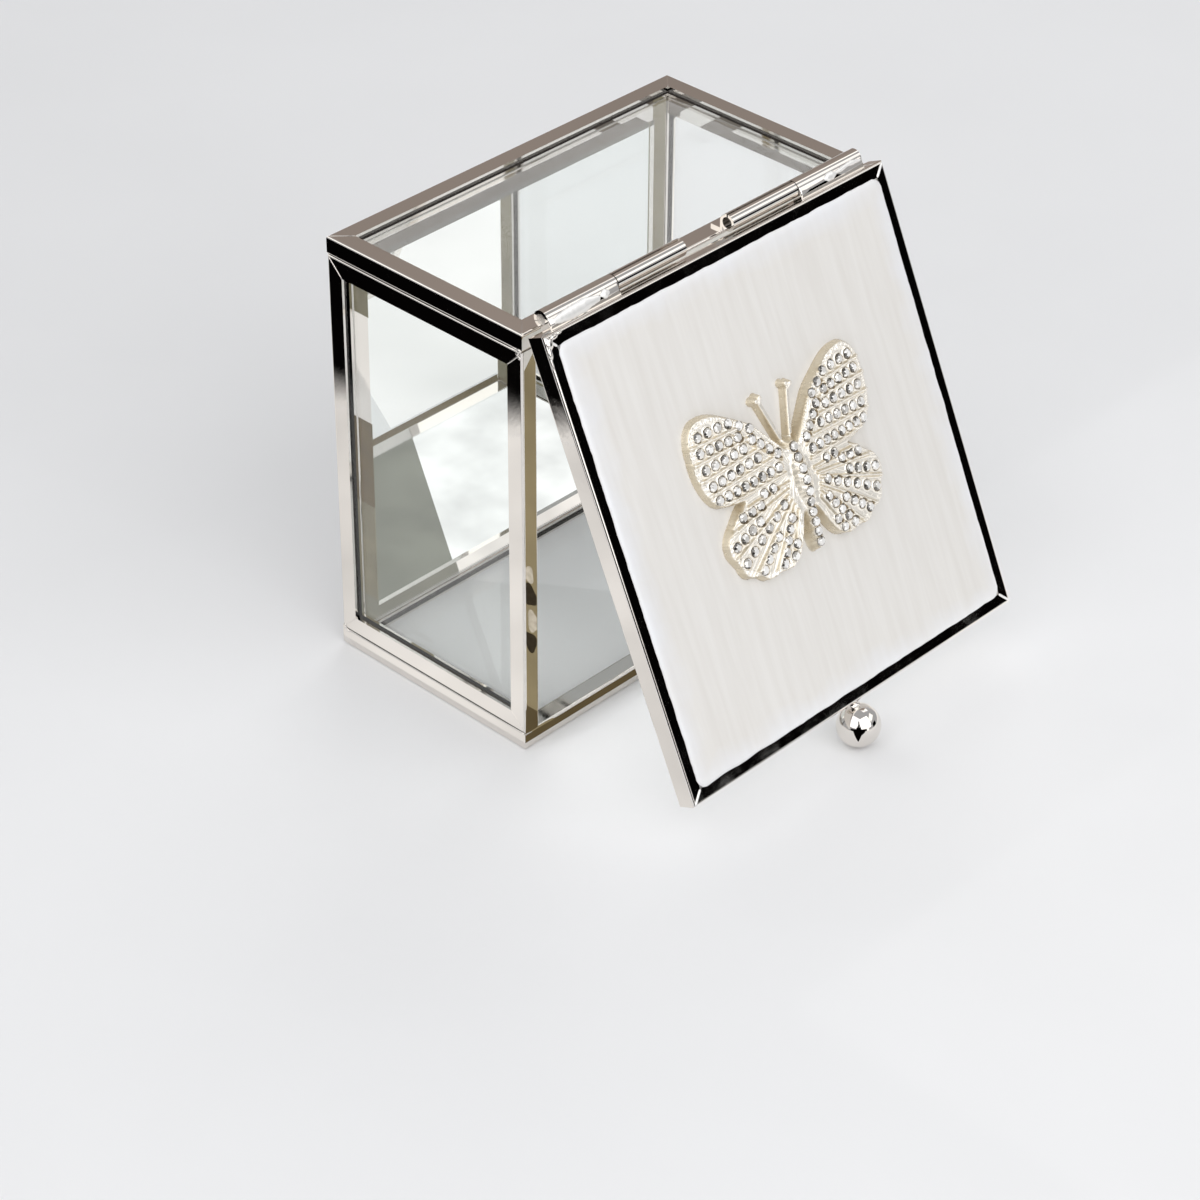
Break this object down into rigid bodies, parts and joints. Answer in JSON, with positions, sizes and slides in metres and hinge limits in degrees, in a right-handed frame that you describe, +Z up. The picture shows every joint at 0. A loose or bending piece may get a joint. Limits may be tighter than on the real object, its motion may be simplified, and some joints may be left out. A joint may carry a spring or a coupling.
{
  "type": "trinket box",
  "caption": "Square glass keepsake box in plated channel frames, with a mirror base and a hinged pearl lid set with a jewelled butterfly and a ball knob; stood on its front wall, lid ajar.",
  "frame": {"origin": "centre of the footprint on the surface the box stands on, with the lid at its resting angle", "axes": "+Z up as pictured, +X along the hinge, +Y from the mouth to the mirror base"},
  "size_m": [0.085, 0.0916, 0.0886],
  "materials": {
    "nickel": "polished pale nickel plate",
    "pin_steel": "drawn wire",
    "clear_glass": "clear, faint green tint",
    "mirror": "silvered glass",
    "pearl_enamel": "glossy ivory pearl",
    "white_board": "white satin",
    "pale_gold": "bright pale gold plate",
    "stones": "faceted clear stones"
  },
  "bodies": {
    "box": {"back_wall_floor_bar": "nickel", "back_wall_glass": "clear_glass", "back_wall_left_bar": "nickel", "back_wall_right_bar": "nickel", "back_wall_rim_bar": "nickel", "base_back_bar": "nickel", "base_front_bar": "nickel", "base_left_bar": "nickel", "base_mirror": "mirror", "base_right_bar": "nickel", "box_knuckle_left": "nickel", "box_knuckle_right": "nickel", "front_wall_floor_bar": "nickel", "front_wall_glass": "clear_glass", "front_wall_left_bar": "nickel", "front_wall_right_bar": "nickel", "front_wall_rim_bar": "nickel", "left_wall_back_bar": "nickel", "left_wall_floor_bar": "nickel", "left_wall_front_bar": "nickel", "left_wall_glass": "clear_glass", "left_wall_rim_bar": "nickel", "right_wall_back_bar": "nickel", "right_wall_floor_bar": "nickel", "right_wall_front_bar": "nickel", "right_wall_glass": "clear_glass", "right_wall_rim_bar": "nickel"},
    "lid": {"butterfly_casting": "pale_gold", "hinge_pin_left": "pin_steel", "hinge_pin_right": "pin_steel", "knob_ball": "nickel", "knob_stud": "nickel", "lid_back_bar": "nickel", "lid_board": "white_board", "lid_enamel": "pearl_enamel", "lid_front_bar": "nickel", "lid_knuckle_left": "nickel", "lid_knuckle_right": "nickel", "lid_left_bar": "nickel", "lid_right_bar": "nickel", "stones_left_lower": "stones", "stones_left_upper": "stones", "stones_right_lower": "stones", "stones_right_upper": "stones", "stones_spine": "stones"}
  },
  "joints": [
    {"name": "lid_hinge", "type": "hinge", "parent": "box", "child": "lid", "pos_m": [0, -0.0023, 0.087], "axis": [-1, 0, 0], "range_deg": [-24.7, 185]}
  ]
}
